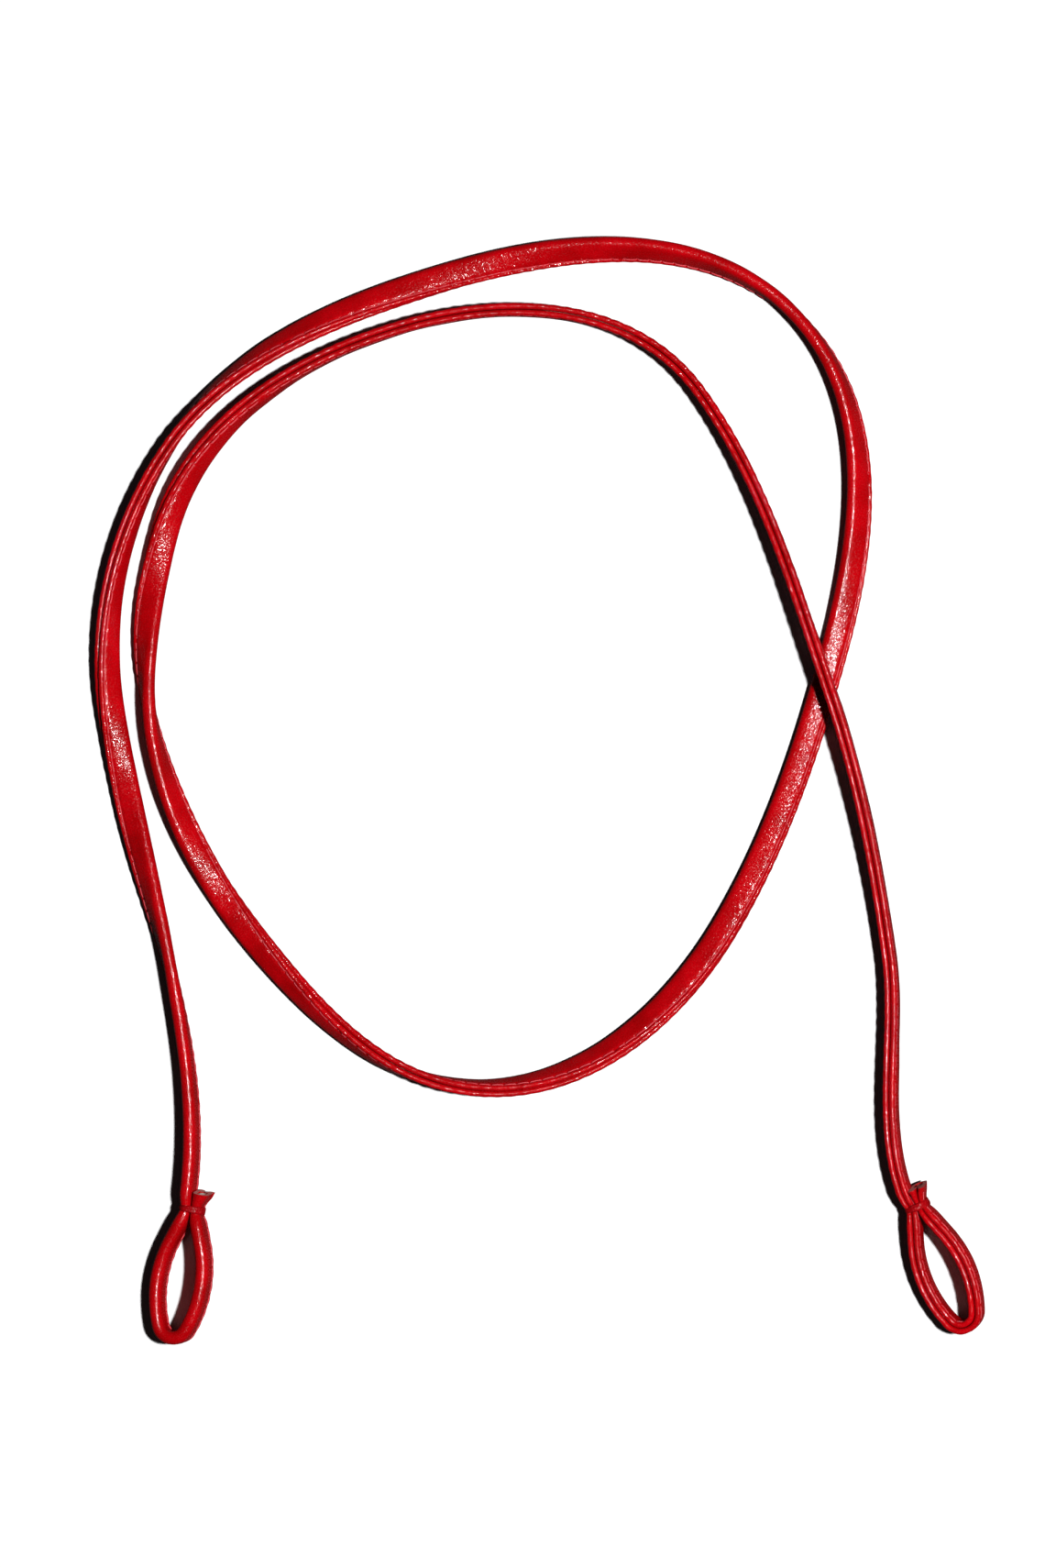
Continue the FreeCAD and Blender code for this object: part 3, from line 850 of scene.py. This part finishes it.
for n in range(LAST_PLACE + 1):
    leather_piece(n)
    cord_piece(n)
    needle = thread_piece(n, 1, "needle_thread")
    thread_piece(n, -1, "bobbin_thread")
    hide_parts(*stood_for(n, "seam_thread"))
binding_piece(0, "left_eye_binding_thong", "left_eye_binding")
binding_piece(LAST_PLACE, "right_eye_binding_thong", "right_eye_binding")


# ---- studio ----

FLOOR_HALF = 4.0
FLOOR_THROWN_BACK = (0.04, 0.04, 0.04, 1)
BACKDROP_LIGHT = 0.006
BACKDROP_SEEN = 0.75
LENS_MM = 160
SENSOR_MM = 36
VIEW_HEIGHT = 0.7182
VIEW_CENTRE = (-0.0076, 0.0027)
KEY_AZIMUTH = -4
KEY_ELEVATION = 72.5
KEY_DISTANCE = 3.0
KEY_SIZE = 0.22
KEY_WATTS = 122


def floor_material():
    n = Nodes("pale_floor")
    speck = n.noise(n.add("TexCoord").outputs["Object"], 40, 4.0)
    seen = n.mix(speck, (0.90, 0.90, 0.90, 1), (0.93, 0.93, 0.93, 1))
    # only the camera sees the floor this pale: less of it is thrown back onto the lead
    colour = n.mix(n.add("LightPath").outputs["Is Camera Ray"], FLOOR_THROWN_BACK, seen)
    return n.finish(Base_Color=colour, Roughness=0.9, Specular_IOR_Level=0.1)


def make_floor():
    mesh = bpy.data.meshes.new("floor")
    corners = [(x * FLOOR_HALF, y * FLOOR_HALF, 0) for x, y in ((-1, -1), (1, -1), (1, 1), (-1, 1))]
    mesh.from_pydata(corners, [], [(0, 1, 2, 3)])
    mesh.materials.append(floor_material())
    floor = bpy.data.objects.new("floor", mesh)
    bpy.context.scene.collection.objects.link(floor)
    follow = floor.modifiers.new("below_the_lead", "NODES")
    follow.node_group = below_the_lead()


def below_the_lead():
    """Sets the floor under the lead as it lies, or under its lowest part when a bend drops that."""
    tree = bpy.data.node_groups.new("below_the_lead", "GeometryNodeTree")
    for way in ("INPUT", "OUTPUT"):
        tree.interface.new_socket("Geometry", in_out=way, socket_type="NodeSocketGeometry")
    enter, leave, pieces, real, box, split, lowest, place, move = [tree.nodes.new(kind) for kind in (
        "NodeGroupInput", "NodeGroupOutput", "GeometryNodeCollectionInfo", "GeometryNodeRealizeInstances",
        "GeometryNodeBoundBox", "ShaderNodeSeparateXYZ", "ShaderNodeMath", "ShaderNodeCombineXYZ",
        "GeometryNodeTransform")]
    pieces.inputs["Collection"].default_value = lead_pieces
    lowest.operation = "MINIMUM"
    lowest.inputs[1].default_value = cad_low[2]
    for source, target in (
        (pieces.outputs[0], real.inputs[0]), (real.outputs[0], box.inputs[0]),
        (box.outputs["Min"], split.inputs[0]), (split.outputs["Z"], lowest.inputs[0]),
        (lowest.outputs[0], place.inputs["Z"]), (place.outputs[0], move.inputs["Translation"]),
        (enter.outputs[0], move.inputs["Geometry"]), (move.outputs[0], leave.inputs[0]),
    ):
        tree.links.new(source, target)
    return tree


def aim(thing, place, target):
    thing.location = place
    thing.rotation_euler = (Vector(target) - Vector(place)).to_track_quat("-Z", "Y").to_euler()


def make_key_light():
    """One fairly small lamp high up on the right."""
    data = bpy.data.lights.new("key", "AREA")
    data.shape = "DISK"
    data.size = KEY_SIZE
    data.energy = KEY_WATTS
    light = bpy.data.objects.new("key", data)
    bpy.context.scene.collection.objects.link(light)
    azimuth, elevation = math.radians(KEY_AZIMUTH), math.radians(KEY_ELEVATION)
    level = KEY_DISTANCE * math.cos(elevation)
    height = KEY_DISTANCE * math.sin(elevation)
    aim(light, [level * math.cos(azimuth), level * math.sin(azimuth), height], (0, 0, 0))


def make_camera():
    """Straight down, from far enough that the view is nearly flat."""
    data = bpy.data.cameras.new("camera")
    data.lens = LENS_MM
    data.sensor_width = SENSOR_MM
    camera = bpy.data.objects.new("camera", data)
    bpy.context.scene.collection.objects.link(camera)
    camera.location = (*VIEW_CENTRE, VIEW_HEIGHT * LENS_MM / SENSOR_MM)
    bpy.context.scene.camera = camera


def make_world():
    world = bpy.data.worlds.new("studio")
    world.use_nodes = True
    background = world.node_tree.nodes["Background"]
    background.inputs["Color"].default_value = (1, 1, 1, 1)
    # only the camera sees the backdrop this pale: it throws far less light on the lead
    tree = world.node_tree
    strength = tree.nodes.new("ShaderNodeMapRange")
    strength.inputs["To Min"].default_value = BACKDROP_LIGHT
    strength.inputs["To Max"].default_value = BACKDROP_SEEN
    tree.links.new(tree.nodes.new("ShaderNodeLightPath").outputs["Is Camera Ray"], strength.inputs["Value"])
    tree.links.new(strength.outputs["Result"], background.inputs["Strength"])
    bpy.context.scene.world = world


make_floor()
make_camera()
make_world()
make_key_light()
bpy.context.scene.view_settings.view_transform = "Standard"
